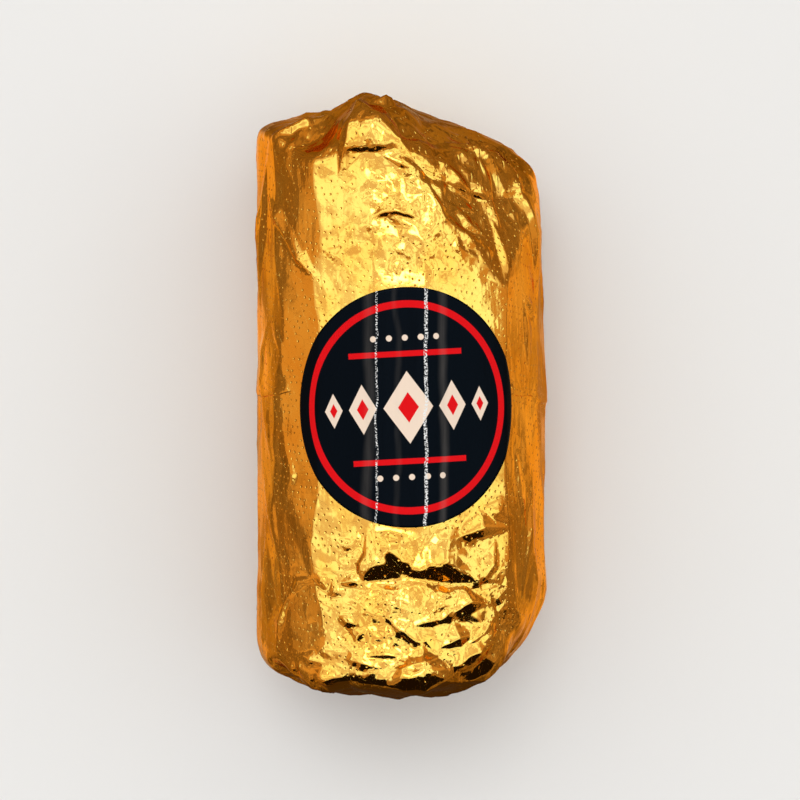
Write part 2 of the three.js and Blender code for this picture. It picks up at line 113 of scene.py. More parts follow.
# Folds seen from above, in x and y. The solid has them too.
FRONT_FOLDS = [
    # top end: the gathered peak and the triangle below it
    (-9.4, 81, -16.4, 57, 2.6, 4.2, 7, 0),
    (3.5, 62, -14.5, 78.5, 2.4, 3.6, 6, 0),
    (-17.5, 64, 4.5, 65.8, 1.4, 1.6, 8, 0),
    (-5, 62.5, 5.5, 58.6, 1.0, 1.5, 4, 0),
    (-8, 76.2, 0.5, 75.8, 2.4, 1.4, 3, 0),
    # top end: the edge of the sloping right shoulder, and the ridges on it
    (25.4, 36.6, 4.2, 61, 1.1, 1.5, 8, 4.4),
    (28, 41, 19.6, 65, 1.3, 1.3, 1.7, 0),
    (20.5, 49, 9, 62, 0.9, 2.2, 2.6, 0),
    (24, 41, 14, 50, 0.8, 1.8, 2.2, 1),
    (20, 68.5, 32.5, 61.5, 0.9, 1.4, 2.4, 0),
    # top end: chevron in the middle, slanting crease on the left
    (-8.5, 45.8, 5.5, 45.2, 1.2, 1.3, 6, 2.6),
    (-23.5, 30, -33.5, 51, 0.6, 1.2, 3.4, 0),
    # below the label: the two deep folds, each with a valley along its foot, and those beside them
    (-12.5, -50, 8, -48.6, 2.6, 7.2, 24, 7.6),
    (-11, -50.6, 7, -49.4, -1.6, 2.8, 6.5, 0),
    (0.8, -48.4, 21.6, -50.6, 2.4, 5.4, 14, 4.4),
    (2, -49.6, 21, -51.2, -1.2, 3, 5, 0),
    (13.8, -39, 29.4, -36.4, 1.8, 2.8, 7, 1.6),
    (19.8, -29.4, 30.6, -34.8, 1.2, 2.0, 5, 0),
    (-17.6, -51, -8.2, -51.4, 1.0, 1.4, 3, 1),
    (-19.8, -54.4, -14.2, -53, 0.8, 1.3, 4, 0.8),
    (-7.6, -56.4, 0.4, -56.6, 1.0, 1.5, 5, 1.2),
    # lower still, down to the bottom end
    (12.8, -59.8, 24.6, -56.6, 1.5, 2.3, 5, 3),
    (3, -61.8, 13, -60.2, 1.3, 1.9, 5, 0.8),
    (-5.2, -58.4, 6.2, -67.6, 1.2, 1.9, 4, 0),
    (10.4, -67.6, 20.4, -64.4, 1.5, 2.4, 5, 1),
    (16.2, -71.4, 25.6, -65.6, 1.4, 2.4, 5, 0),
    (-15.6, -70.2, -5, -73, 1.0, 1.7, 5, 0),
    (-9.2, -69.8, 0.8, -69.8, 0.8, 1.2, 4, 0.6),
    (-32, -74.6, -12, -79.2, 1.4, 1.6, 4, 0),
    (-5, -77.4, 17, -76.4, 3.4, 6.0, 7, 3.8),
]

# Oval hollows seen from above: x, y, size across, size along, depth.
DENTS = [
    (-24, 67.6, 22, 14, 2.4),
    (28.4, -63, 9, 13, 2.0),
    (1.5, 68, 8, 5, 1.2),
]

# Folds on the flanks and the underside, with an angle from the top, in degrees, in place of x.
FLANK_FOLDS = [
    (126, -64, 120, 66, 1.5, 3.4, 24, 2),
    (74, -69, 66, -34, 1.1, 3.2, 8, -2),
    (100, -72, 92, -40, 1.3, 3.0, 9, 1),
    (-70, -36, -78, -72, 1.3, 3.2, 9, 1),
    (-104, -44, -98, -74, 1.4, 3.2, 9, -1),
    (66, 62, 78, 22, 1.4, 3.0, 8, 2),
    (94, 64, 104, 30, 1.4, 3.0, 9, 0),
    (-82, 20, -70, 66, 1.3, 3.2, 9, -1),
    (-112, 30, -98, 68, 1.4, 3.2, 9, 2),
    (52, -2.6, 116, -2.8, 0.5, 1.6, 9, 0.4),
    (-116, 2, -52, -1, 0.5, 1.6, 9, -0.5),
]

# ---- small helpers ----


def smoothstep(value, start, end):
    share = np.clip((value - start) / (end - start), 0, 1)
    return share * share * (3 - 2 * share)


def soft_max(a, b, blend):
    """The larger of two values, rounded off where they are within `blend` of each other."""
    overlap = np.maximum(blend - np.abs(a - b), 0) / blend
    return np.maximum(a, b) + overlap * overlap * blend / 4


def between(share, low, high):
    """`low` where share is 0 and `high` where it is 1."""
    return share * (high - low) + low


def tent(distance, reach):
    """1 in the middle, falling straight to 0 at `reach` from it."""
    return np.maximum(1 - np.abs(distance) / reach, 0)


def turned(u, v, angle):
    """u and v along axes turned by an angle."""
    return u * math.cos(angle) + v * math.sin(angle), v * math.cos(angle) - u * math.sin(angle)


def wrap_angle(angle):
    return np.arctan2(np.sin(angle), np.cos(angle))


# ---- the plain bolster ----


def section_radius(angle):
    """The roll's radius at an angle: round, less a share of what flat facets would cut away."""
    creases = np.sort(LONG_CREASES)
    ring = np.concatenate([[creases[-1] - 2 * math.pi], creases, [creases[0] + 2 * math.pi]])
    a = wrap_angle(np.asarray(angle, float))
    following = np.searchsorted(ring, a, side="right")
    start = ring[following - 1]
    end = ring[following]
    flat = RADIUS * np.cos((end - start) / 2) / np.cos(a - (start + end) / 2)
    return between(CREASE_FLATNESS, RADIUS, flat)


def rightward_share(angle):
    """1 at the far right of the roll, falling to 0 at its top and its underside."""
    return np.maximum(np.sin(angle), 0) ** 2


def top_drop(x, z):
    """How far the top end's surface lies below its highest point, over a spot of the section."""
    left = TOP_LEFT["drop"] - TOP_LEFT["climb"] * np.maximum(x - TOP_LEFT["start"], 0)
    right = TOP_RIGHT["drop"] + TOP_RIGHT["slope"] * (x - TOP_RIGHT["at"])
    right_share = smoothstep(x, TOP_LEAN["start"], TOP_LEAN["end"])
    lean = between(right_share, TOP_LEAN["left"], TOP_LEAN["right"])
    peak = PEAK["height"] * tent(x - PEAK["x"], PEAK["reach_x"])
    peak = peak * tent(z - PEAK["z"], PEAK["reach_z"])
    return soft_max(left, right, TOP_RIDGE_BLEND) + lean * np.maximum(z, 0) - peak


def end_profile(angle, is_top):
    """An end's profile at one angle, from the middle out: rho and y."""
    left, right, upright = TOP_CORNER if is_top else BOTTOM_CORNER
    sideways = math.sin(angle) ** 2
    height, square = (right if math.sin(angle) > 0 else left) * sideways + upright * (1 - sideways)
    turn = np.linspace(0, math.pi / 2, PROFILE_STEPS)
    reach = np.sin(turn) ** (2 / square)
    rho = section_radius(angle) * reach
    rounding = height * (1 - np.maximum(np.cos(turn), 0) ** (2 / square))
    if is_top:
        drop = top_drop(rho * math.sin(angle), rho * math.cos(angle))
        y = LENGTH / 2 - drop - TOP_DOME * reach**2 - rounding
    else:
        dome = BOTTOM_DOME["across"] * sideways + BOTTOM_DOME["upright"] * (1 - sideways)
        y = -LENGTH / 2 + dome * reach**2 + rounding
    length = np.concatenate([[0], np.cumsum(np.hypot(np.diff(rho), np.diff(y)))])
    wanted = length[-1] * np.linspace(0, 1, CAP_ROWS + 1) ** RIM_CROWDING
    return np.interp(wanted, length, rho), np.interp(wanted, length, y)


def roll_profile(angle):
    """The whole profile at one angle, from the bottom end's middle to the top end's: rho and y."""
    bottom_rho, bottom_y = end_profile(angle, False)
    top_rho, top_y = end_profile(angle, True)
    even = np.arange(1, SIDE_ROWS) / SIDE_ROWS
    share = even - END_SHARE / (2 * math.pi) * np.sin(2 * math.pi * even)
    side_y = between(share, bottom_y[-1], top_y[-1])
    side_rho = np.full(SIDE_ROWS - 1, bottom_rho[-1])
    rho = np.concatenate([bottom_rho, side_rho, top_rho[::-1]])
    y = np.concatenate([bottom_y, side_y, top_y[::-1]])
    return rho, y


# ---- relief ----


def fold_heights(u, v, folds, around=None):
    """The summed height of folds over points (u, v). `around` is the length at which u repeats."""
    total = np.zeros_like(u)
    for u0, v0, u1, v1, height, steep, gentle, bow in folds:
        run = math.hypot(u1 - u0, v1 - v0)
        reach = run / 2 + abs(bow) + max(steep, gentle)
        du = u - (u0 + u1) / 2
        if around:
            du = (du + around / 2) % around - around / 2
        dv = v - (v0 + v1) / 2
        near = np.nonzero((np.abs(du) < reach) & (np.abs(dv) < reach))
        du = du[near]
        dv = dv[near]
        along = (du * (u1 - u0) + dv * (v1 - v0)) / run / (run / 2)
        taper = np.maximum(1 - np.abs(along), LEAST_TAPER)
        across = (dv * (u1 - u0) - du * (v1 - v0)) / run - bow * taper
        width = np.where(across > 0, gentle, steep) * taper
        total[near] += np.where(np.abs(along) < 1, height * taper * tent(across, width), 0)
    return total


def dent_depths(x, y):
    total = np.zeros_like(x)
    for dent_x, dent_y, across, along, depth in DENTS:
        away = np.hypot((x - dent_x) / (across / 2), (y - dent_y) / (along / 2))
        total += np.where(away < 1, depth * (1 - away**2) ** 2, 0)
    return total


def pleat_heights(pleats, angle, rho):
    """Pleats that fan out over an end."""
    twisted = angle + pleats["phase"] + pleats["twist"] * (1 - rho / RADIUS)
    turns = twisted / (2 * math.pi) * pleats["count"]
    share = turns - np.floor(turns)
    rise = np.minimum(share / (1 - PLEAT_STEEP_SHARE), (1 - share) / PLEAT_STEEP_SHARE)
    return pleats["height"] * rise * smoothstep(rho, PLEAT_START, PLEAT_FULL)


def front_share(points, normals):
    """1 where the skin faces up, falling to 0 on the flanks and past them."""
    return smoothstep(normals[:, 2], *FRONT_FADE) * (points[:, 2] > 0)


def side_share(normals):
    """1 all round the roll, falling to 0 on its ends."""
    return 1 - smoothstep(np.abs(normals[:, 1]), *FLANK_FADE)


def end_share(normals):
    """1 on the ends, falling to 0 on the sides."""
    return smoothstep(np.abs(normals[:, 1]), *END_FADE)


def away_from_label(angle, y):
    """0 under the label, where the foil is pulled smooth, rising to 1 a little way outside it."""
    around = RADIUS * wrap_angle(angle - LABEL_ANGLE)
    distance = np.hypot(around, y - LABEL_Y)
    return smoothstep(distance, LABEL_RADIUS + LABEL_MARGIN, LABEL_RADIUS + LABEL_EASE)


# ---- crumple: finer relief than the solid has ----

# More folds seen from above, listed like FRONT_FOLDS.
DETAIL_FOLDS = [
    # top end: second edge of the gathered peak, and small folds by the triangle
    (-21.4, 64.2, -11, 78, 0.9, 2.2, 4, 0),
    (-2.6, 64, 2.4, 65, 0.6, 0.9, 1.8, 0),
    (-5.5, 72.5, 2.4, 66.5, 0.5, 0.8, 1.2, -0.8),
    # top end: the bright rim of the dent at its left
    (-33, 63, -19, 72, 1.1, 1.3, 1.8, 2.2),
    # top end: the sloping shoulder
    (10.5, 66.5, 20.8, 58.6, 0.9, 2.6, 2.2, 0.6),
    (13.5, 62, 22, 52.5, 0.6, 1.6, 1.8, 0),
    (15, 49.4, 21, 47.6, 0.5, 1.4, 1.4, 0.4),
    (33.2, 50, 32, 62, 0.7, 1.4, 2.2, 0),
    (15.5, 70.6, 35.5, 56.5, 1.8, 1.7, 3, 0.6),
    (15, 65.4, 30, 57.5, 1.2, 1.5, 2.2, 0.8),
    # below the shoulder: chevron arms, a short lens, and a crease down to the right
    (-7.4, 45.6, -2.8, 48.4, 0.6, 0.8, 2.4, 0),
    (-3, 47.6, 5.6, 45.4, 0.7, 0.9, 3.5, 0.5),
    (-11.4, 43.4, -4, 43.0, 0.6, 1.5, 3, 0.6),
    (7.6, 35, 3.2, 44.8, 0.5, 5.5, 2.5, 0),
    (-4, 38.5, 4.5, 34.5, 0.5, 1.0, 3, 0.5),
    (-21.5, 38, -13.6, 33.4, 0.5, 1.0, 3, 0),
    # bottom left: the puckered arch and the folds inside it
    (-33.5, -70, -29.5, -53, 0.8, 1.2, 2, 1.0),
    (-31, -56, -20.5, -49, 0.8, 1.3, 2, 2.2),
    (-22.6, -48, -19.6, -52.2, 0.7, 1.5, 2, 0),
    (-16.7, -59.1, -11.6, -62, 0.7, 1.3, 3, 0),
    (-12.6, -66.5, -8.4, -61.6, 0.5, 0.9, 2, 0),
    (-28.6, -69.8, -19.6, -72.3, 0.9, 1.9, 3, 0),
    (-27.8, -70.4, -26, -74.6, 0.6, 1.0, 1.2, 0),
    (-26, -74.6, -12, -76.4, 0.7, 1.6, 3, 0.4),
    # bottom right: the upright ridge, the arch's ribs and the long ridges below it
    (20.4, -52.5, 25.7, -38.5, 1.1, 1.7, 3, -1.2),
    (15.6, -59, 20.6, -57.2, 0.5, 0.9, 1.6, 0.3),
    (16.6, -67.4, 25.2, -59.4, 1.1, 1.8, 2.4, -0.9),
    (-8.4, -75, 12.2, -69.2, 0.8, 1.5, 2.4, 0),
    (-8, -75.8, 9, -74.8, 1.7, 3.6, 3, 0.8),
    (8.4, -55.4, 15.4, -52.8, 0.7, 1.2, 3, 0.5),
    (-2.2, -54, 3.4, -56.4, 0.6, 1.1, 2.6, 0.3),
]

# Folds on the top end, in x and z: the ledge at its left.
TOP_END_FOLDS = [
    (-36, 18.5, -15, 12.5, 2.0, 9.0, 1.6, 2.0),
    (34, 5, 14, 13, 1.8, 1.5, 3.5, 0.5),
    (31, 16, 10, 23, 1.6, 1.5, 3.5, 0.5),
]

# Folds on the unrolled flanks, like FLANK_FOLDS.
DETAIL_FLANK_FOLDS = [
    (-70, 54, -49, 39, 1.3, 1.6, 3.4, 0.6),
    (-53, 42, -34, 29.5, 1.3, 1.5, 3.4, -0.6),
    (-66, 22, -52, 8, 0.6, 1.2, 3, 0),
    (-84, 8, -62, -22, 0.8, 1.8, 5, 1.5),
    (-74, -20, -58, -44, 0.8, 1.6, 5, 0),
    (58, 30, 66, 2, 0.7, 1.5, 4, 1),
    (59, 28, 72, 17, 1.0, 1.1, 2.4, 0.3),
    (52, -12, 62, -40, 0.8, 1.5, 4, 0),
    (70, -16, 58, -58, 0.9, 1.8, 5, 1),
]

SEED = 7
# Each kind of random fold: how many, the shortest and longest, height and steep width as shares of
# the length, how much wider the gentle side is, and the share that are valleys.
FOLD_KINDS = {
    "front_bottom": (46, (3, 11), 0.085, 0.13, 2.3, 0.3),
    "front_top": (40, (3, 9), 0.046, 0.12, 2.4, 0.5),
    "shoulder": (26, (2.5, 9), 0.08, 0.14, 1.8, 0.5),
    "everywhere": (150, (6, 26), 0.028, 0.12, 2.4, 0.45),
    "end": (60, (6, 24), 0.045, 0.13, 2.4, 0.55),
}
# Where each kind lies, as two ranges, and its heading and how far that may turn, in radians. The
# front is seen from above, "everywhere" is unrolled, and an end is in x and z.
FOLD_PLACES = {
    "front_bottom": ((-17, 31), (-76, -40), 0.0, math.pi),
    "front_top": ((-14, 14), (30, 62), 0.0, math.pi),
    "shoulder": ((7, 33), (36, 66), -1.1, 0.6),
    "everywhere": ((-AROUND / 2, AROUND / 2), (-72, 70), 1.5, 0.35),
    "end": ((-36, 36), (-36, 36), 0.0, math.pi),
}
# How far a fold's height, steep width and gentle width vary, and its bow as a share of its length.
HEIGHT_RANGE = (0.5, 1.3)
STEEP_RANGE = (0.7, 1.4)
GENTLE_RANGE = (0.6, 1.6)
BOW_RANGE = (-0.2, 0.2)
FACETS = ((11.0, 0.15), (5.0, 0.22), (2.4, 0.14))  # a facet's size, and its height over that
FACET_BEND = 0.7  # how far they are pulled about, as a share of their size
FACET_BEND_SIZE = 1.7  # and over what distance, in the same way
FACET_STRETCH = 1.3
FACET_TURN = math.radians(-24)
FLANK_STRETCH = 3.2  # how much longer facets are along the flanks
FLANK_START = (32, 38)  # degrees from the top where those start and are whole
SALTS = {"bend_u": 20, "bend_v": 30, "flanks": 40, "ends": 10}  # so that facets differ
# How the long creases wander: by how many degrees, over what length, and how often round the roll.
CREASE_WANDER = ((2.6, 12.5, 3.0), (1.6, 5.6, 5.0))

# How crumpled the foil is: at least, on the ends, and in oval zones seen from above. A zone is
# x, y, half its width, half its length, and the crumple in its middle.
CRUMPLE_LEAST = 0.16
CRUMPLE_FLANKS = 0.32
CRUMPLE_ENDS = 0.5
CRUMPLE_ZONES = [
    (9, -58, 32, 25, 0.75),
    (-18, -58, 20, 24, 0.4),
    (2.4, 54, 14, 24, 0.8),
    (8, 37, 26, 14, 0.55),
    (20, 55, 20, 28, 0.65),
]
ZONE_CORE = 0.55  # the share of a zone that is evenly crumpled
FOLD_CALM = 0.8  # how much of the random crumple is left off the listed folds
CALM_HEIGHTS = (0.1, 0.7)  # how high those folds are where the calm starts and is whole
SCRAMBLE = (127.1, 311.7, 74.7, 43758.5453)  # these make lattice values look random


def random_folds(rng, kind):
    """Seeded folds of one kind, turned up to `spread` either side of their heading."""
    count, (shortest, longest), rise, steepness, widening, valleys = FOLD_KINDS[kind]
    u_range, v_range, heading, spread = FOLD_PLACES[kind]
    folds = []
    for _ in range(count):
        length = between(rng.random() ** 2, shortest, longest)
        turn = heading + spread * (2 * rng.random() - 1)
        du = length / 2 * math.cos(turn)
        dv = length / 2 * math.sin(turn)
        u = rng.uniform(*u_range)
        v = rng.uniform(*v_range)
        height = length * rise * rng.uniform(*HEIGHT_RANGE)
        if rng.random() < valleys:
            height = -height
        steep = length * steepness * rng.uniform(*STEEP_RANGE)
        gentle = steep * widening * rng.uniform(*GENTLE_RANGE)
        bow = length * rng.uniform(*BOW_RANGE)
        folds.append((u - du, v - dv, u + du, v + dv, height, steep, gentle, bow))
    return folds


def lattice_value(i, j, salt):
    """A repeatable number from 0 to 1 for each whole-numbered lattice point."""
    by_i, by_j, by_salt, by_sine = SCRAMBLE
    mixed = np.sin(i * by_i + j * by_j + salt * by_salt) * by_sine
    return mixed - np.floor(mixed)


def even_facets(u, v, size, salt):
    """Flat triangular facets of one size, with corner heights from -0.5 to 0.5."""
    skew = (u + v) * (math.sqrt(3) - 1) / 2
    i = np.floor((u + skew) / size)
    j = np.floor((v + skew) / size)
    fu = (u + skew) / size - i
    fv = (v + skew) / size - j
    corner = lattice_value(i, j, salt)
    opposite = lattice_value(i + 1, j + 1, salt)
    lower = lattice_value(i + 1, j, salt)
    upper = lattice_value(i, j + 1, salt)
    below = corner * (1 - fu) + lower * (fu - fv) + opposite * fv
    above = corner * (1 - fv) + upper * (fv - fu) + opposite * fu
    return np.where(fu > fv, below, above) - 0.5


def facet_heights(u, v, size, salt):
    """Flat facets of uneven shape: even ones, drawn out slantwise and pulled about."""
    u, v = turned(u, v, FACET_TURN)
    u = u / FACET_STRETCH
    v = v * FACET_STRETCH
    larger = size * FACET_BEND_SIZE
    shift_u = even_facets(u, v, larger, salt + SALTS["bend_u"]) * size * FACET_BEND
    shift_v = even_facets(u, v, larger, salt + SALTS["bend_v"]) * size * FACET_BEND
    return even_facets(u + shift_u, v + shift_v, size, salt)


def crumple_share(points, normals):
    """How crumpled the foil is at each point, from 0 to 1."""
    x, y, z = points.T
    share = np.full_like(x, CRUMPLE_LEAST)
    for zone_x, zone_y, across, along, most in CRUMPLE_ZONES:
        away = np.hypot((x - zone_x) / across, (y - zone_y) / along)
        inside = (1 - smoothstep(away, ZONE_CORE, 1)) * (z > 0)
        share = np.maximum(share, between(inside, CRUMPLE_LEAST, most))
    return between(end_share(normals), share, np.maximum(share, CRUMPLE_ENDS))


def wandering_creases(angle, y):
    """What it adds to the roll's radius that its long creases aren't quite straight."""
    wander = np.zeros_like(y)
    for degrees, length, turns in CREASE_WANDER:
        wander += math.radians(degrees) * np.sin(y / length + angle * turns)
    return section_radius(angle + wander) - section_radius(angle)


def calmness(x, y):
    """1 where no listed fold is placed, falling on the flanks of those that are."""
    placed = fold_heights(x, y, FRONT_FOLDS + DETAIL_FOLDS)
    return 1 - FOLD_CALM * smoothstep(placed, *CALM_HEIGHTS)


def crumple_heights(points, normals, angle):
    """All the finer relief of the foil."""
    rng = np.random.default_rng(SEED)
    x, y, z = points.T
    around = RADIUS * wrap_angle(angle)
    on_front = []
    for kind in ("front_bottom", "front_top", "shoulder"):
        on_front += random_folds(rng, kind)
    sides = random_folds(rng, "everywhere")
    low_end = random_folds(rng, "end")
    high_end = random_folds(rng, "end") + TOP_END_FOLDS
    upright = front_share(points, normals)
    on_end = end_share(normals)
    calm = calmness(x, y)
    total = fold_heights(x, y, DETAIL_FOLDS) * upright
    total += fold_heights(x, y, on_front) * upright * calm
    total += fold_heights(around, y, sides, AROUND) * side_share(normals) * calm
    total += wandering_creases(angle, y) * (1 - on_end)
    total += np.where(y < 0, fold_heights(x, z, low_end), fold_heights(x, z, high_end)) * on_end
    share = crumple_share(points, normals)
    on_flank = smoothstep(np.abs(np.degrees(wrap_angle(angle))), *FLANK_START)
    for salt, (size, steepness) in enumerate(FACETS):
        roll = facet_heights(around, y, size, salt) * share * (1 - on_flank)
        stretched = facet_heights(around, y / FLANK_STRETCH, size, salt + SALTS["flanks"])
        roll += stretched * CRUMPLE_FLANKS * on_flank
        caps = facet_heights(x, z, size, salt + SALTS["ends"]) * share
        total += steepness * size * (roll * (1 - on_end) + caps * on_end)
    return total


def relief(points, normals, angle, rho):
    """How far the skin is pushed out at each point of the plain bolster."""
    x, y, _ = points.T
    front = (fold_heights(x, y, FRONT_FOLDS) - dent_depths(x, y)) * front_share(points, normals)
    degree = math.radians(1) * RADIUS
    unrolled = []
    for angle0, y0, angle1, y1, *rest in FLANK_FOLDS + DETAIL_FLANK_FOLDS:
        unrolled.append((angle0 * degree, y0, angle1 * degree, y1, *rest))
    flanks = fold_heights(RADIUS * wrap_angle(angle), y, unrolled, AROUND)
    flanks *= side_share(normals)
    low = pleat_heights(BOTTOM_PLEATS, angle, rho)
    high = pleat_heights(TOP_PLEATS, angle, rho)
    narrowing = smoothstep(y, NARROWING["start"], NARROWING["end"]) * rightward_share(angle)
    folded = front + flanks + crumple_heights(points, normals, angle)
    pleats = end_share(normals) * np.where(y < 0, low, high)
    return folded * away_from_label(angle, y) + pleats - NARROWING["by"] * narrowing


def cut_shoulder(points, normals):
    """The points cut back to the sloping right shoulder, along their own normals."""
    beyond = (points - SHOULDER_POINT) @ SHOULDER_NORMAL
    facing = normals @ SHOULDER_NORMAL
    depth = soft_max(beyond, 0, SHOULDER_BLEND)
    cut = (facing > SHOULDER_MIN_FACING) & (beyond > -SHOULDER_BLEND)
    back = np.where(cut, depth / np.maximum(facing, SHOULDER_MIN_FACING), 0)
    return points - normals * back[:, None]


def press_flat(points):
    table = REST_FLAT - RADIUS
    points[points[:, 2] < table + REST_SNAP, 2] = table
    return points


# ---- meshes ----

COLUMNS = 340
FRONT_SHARE = 0.5  # how far the columns are drawn towards the top of the roll
CAP_ROWS = 48
SIDE_ROWS = 190
END_SHARE = 0.62  # how far the rings are drawn towards the ends
RIM_CROWDING = 0.72  # below 1 it draws an end's rings towards its rim
PROFILE_STEPS = 400
SHEET_OVER_RIM = 12  # by how many rings the roll's pattern reaches over an end's rim
LABEL_SPAN_STEPS = 361
CAD_LABEL_TOP = 0.7  # how far the solid sticker's upper face lies off the roll


def label_span(reach):
    """The lowest and highest x of the label's outline on a roll, `reach` out from its axis."""
    spread = LABEL_RADIUS / RADIUS
    directions = np.linspace(-spread, spread, LABEL_SPAN_STEPS) + LABEL_ANGLE
    x = (section_radius(directions) + reach) * np.sin(directions)
    return x.min(), x.max()


def axis_place():
    """Where the roll's axis runs in the frame, in millimetres: read from the sticker's box."""
    lowest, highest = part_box("round_label")
    span = label_span(CAD_LABEL_TOP)
    x = (lowest.x + highest.x) / 2 / MM - (span[0] + span[1]) / 2
    y = (lowest.y + highest.y) / 2 / MM - LABEL_Y
    return np.array([x, y, RADIUS - REST_FLAT])


AXIS = axis_place()


def add_object(name, data):
    piece = bpy.data.objects.new(name, data)
    bpy.context.scene.collection.objects.link(piece)
    return piece


def make_object(name, vertices, faces, uvs, material):
    """A smooth-shaded mesh object, from vertices in millimetres from the roll's axis."""
    mesh = bpy.data.meshes.new(name)
    mesh.from_pydata(((vertices + AXIS) * MM).tolist(), [], faces)
    mesh.polygons.foreach_set("use_smooth", [True] * len(mesh.polygons))
    layer = mesh.uv_layers.new(name="millimetres")
    layer.data.foreach_set("uv", np.asarray(uvs, np.float32).ravel())
    mesh.materials.append(material)
    mesh.validate()
    return add_object(name, mesh)


def foil_points():
    """The foil's points, ring by ring, their crumple and angles, and the y of the plain bolster."""
    columns = np.arange(COLUMNS) * 2 * math.pi / COLUMNS
    angles = columns - FRONT_SHARE * np.sin(columns)
    rho, y = np.array([roll_profile(angle) for angle in angles]).transpose(1, 2, 0)
    slope_rho = np.gradient(y, axis=0)
    slope_y = -np.gradient(rho, axis=0)
    size = np.hypot(slope_rho, slope_y)
    angle = np.broadcast_to(angles, rho.shape)
    normals = np.stack([slope_rho * np.sin(angle), slope_y, slope_rho * np.cos(angle)], -1)
    normals /= size[..., None]
    points = np.stack([rho * np.sin(angle), y, rho * np.cos(angle)], -1)
    points = points[1:-1].reshape(-1, 3)
    normals = normals[1:-1].reshape(-1, 3)
    cut = cut_shoulder(points, normals)
    out = relief(cut, normals, angle[1:-1].ravel(), rho[1:-1].ravel())
    moved = press_flat(cut + normals * out[:, None])
    return moved, crumple_share(points, normals), np.unwrap(angles), y


def foil_mesh(material):
    """The foil's skin: its rings, closed by a fan round a point in the middle of each end."""
    points, share, angles, y = foil_points()
    low = len(points)
    high = low + 1
    vertices = np.vstack([points, [0, y[0, 0], 0], [0, y[-1, 0], 0]])
    sheet_y = y[1:-1]
    rings = len(sheet_y)
    faces = []
    uvs = []
    u_edges = np.append(angles, angles[0] + 2 * math.pi) * RADIUS

    def at(ring, column):
        return ring * COLUMNS + column % COLUMNS

    def place_on_roll(ring, column):
        return u_edges[column], sheet_y[ring, column % COLUMNS]

    def place_on_end(ring, column):
        x, _, z = vertices[at(ring, column)]
        return x, z

    end_rings = CAP_ROWS - SHEET_OVER_RIM
    for ring in range(rings - 1):
        place = place_on_roll if end_rings < ring < rings - end_rings else place_on_end
        for column in range(COLUMNS):
            following = column + 1
            corners = [(ring, column), (ring, following), (ring + 1, following), (ring + 1, column)]
            faces.append(tuple(at(*corner) for corner in corners))
            uvs += [place(*corner) for corner in corners]
    for middle, ring, step in ((low, 0, -1), (high, rings - 1, 1)):
        for column in range(COLUMNS):
            first, second = (column, column + 1)[::step]
            faces.append((middle, at(ring, first), at(ring, second)))
            uvs += [(0, 0), place_on_end(ring, first), place_on_end(ring, second)]
    skin = make_object("foil_skin", vertices, faces, uvs, material)
    crumple = skin.data.attributes.new("crumple", "FLOAT", "POINT")
    crumple.data.foreach_set("value", np.append(share, [CRUMPLE_ENDS, CRUMPLE_ENDS]))
    return skin


LABEL_SIDES = 240
LABEL_RINGS = 44
LABEL_CREASES = (-8.4, 4.6)  # the worn creases, as distances across the sticker from its centre
LABEL_TENT = 0.22  # how far the sticker lifts along them
LABEL_TENT_HALF = 2.2  # and how far to each side of them


def label_points(lift):
    """One face of the sticker: its centre, then its rings from the inside out."""
    rings = np.repeat(np.arange(1, LABEL_RINGS + 1), LABEL_SIDES) / LABEL_RINGS * LABEL_RADIUS
    turns = np.tile(np.arange(LABEL_SIDES), LABEL_RINGS) * 2 * math.pi / LABEL_SIDES
    u = np.append(0, rings * np.cos(turns))
    v = np.append(0, rings * np.sin(turns))
    angle = LABEL_ANGLE + u / RADIUS
    raised = sum(tent(u - crease, LABEL_TENT_HALF) for crease in LABEL_CREASES)
    rho = section_radius(angle) + lift + LABEL_TENT * raised
    points = np.stack([rho * np.sin(angle), LABEL_Y + v, rho * np.cos(angle)], -1)
    return points, np.stack([u, v], -1)


def label_mesh(material):
    lower, flat = label_points(LABEL_GAP)
    upper, _ = label_points(LABEL_GAP + LABEL_THICKNESS)
    size = len(lower)
    faces = []

    def at(face, ring, side):
        return face * size + 1 + (ring - 1) * LABEL_SIDES + side % LABEL_SIDES

    for side in range(LABEL_SIDES):
        faces.append((0, at(0, 1, side + 1), at(0, 1, side)))
        faces.append((size, at(1, 1, side), at(1, 1, side + 1)))
        for ring in range(1, LABEL_RINGS):
            around = [(ring, side), (ring + 1, side), (ring + 1, side + 1), (ring, side + 1)]
            faces.append([at(0, *corner) for corner in around[::-1]])
            faces.append([at(1, *corner) for corner in around])
        rim = [at(0, LABEL_RINGS, side), at(0, LABEL_RINGS, side + 1)]
        faces.append((*rim, at(1, LABEL_RINGS, side + 1), at(1, LABEL_RINGS, side)))
    places = np.vstack([flat, flat])
    uvs = [places[index] for face in faces for index in face]
    return make_object("sticker", np.vstack([lower, upper]), faces, uvs, material)


# ---- shader nodes ----


